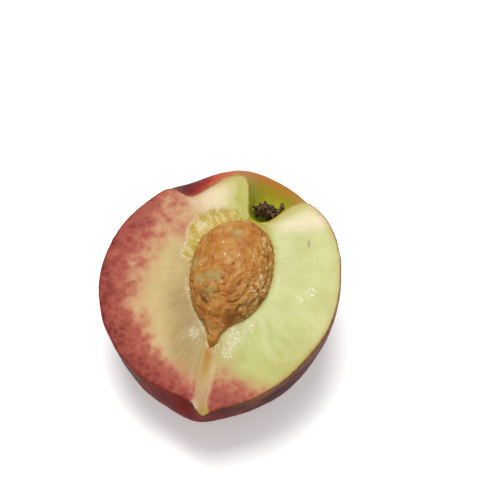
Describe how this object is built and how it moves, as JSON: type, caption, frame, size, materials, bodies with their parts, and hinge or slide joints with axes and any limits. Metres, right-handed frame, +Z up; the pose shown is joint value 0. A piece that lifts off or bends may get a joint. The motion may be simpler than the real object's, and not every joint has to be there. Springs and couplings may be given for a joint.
{
  "type": "peach half",
  "caption": "Half of a ripe peach cut along its suture, lying on its cheek with the cut face up, the stone in its socket and dry stem remains in the stem cavity.",
  "frame": {"origin": "middle of the flattened spot on the cheek that the half rests on", "axes": "+Z up; +Y level, from the tip towards the stem cavity; +X level, from the suture side towards the back of the fruit"},
  "size_m": [0.0656, 0.0746, 0.041],
  "materials": {
    "peach": "dark red skin with a soft sheen, wet pale cut flesh flushed red at one side",
    "stone": "wet, furrowed and pitted peach stone",
    "stem": "dry, dark and crumbly"
  },
  "bodies": {
    "root": {"peach_half": "peach", "peach_stone": "stone", "stem_remains": "stem"}
  },
  "joints": []
}
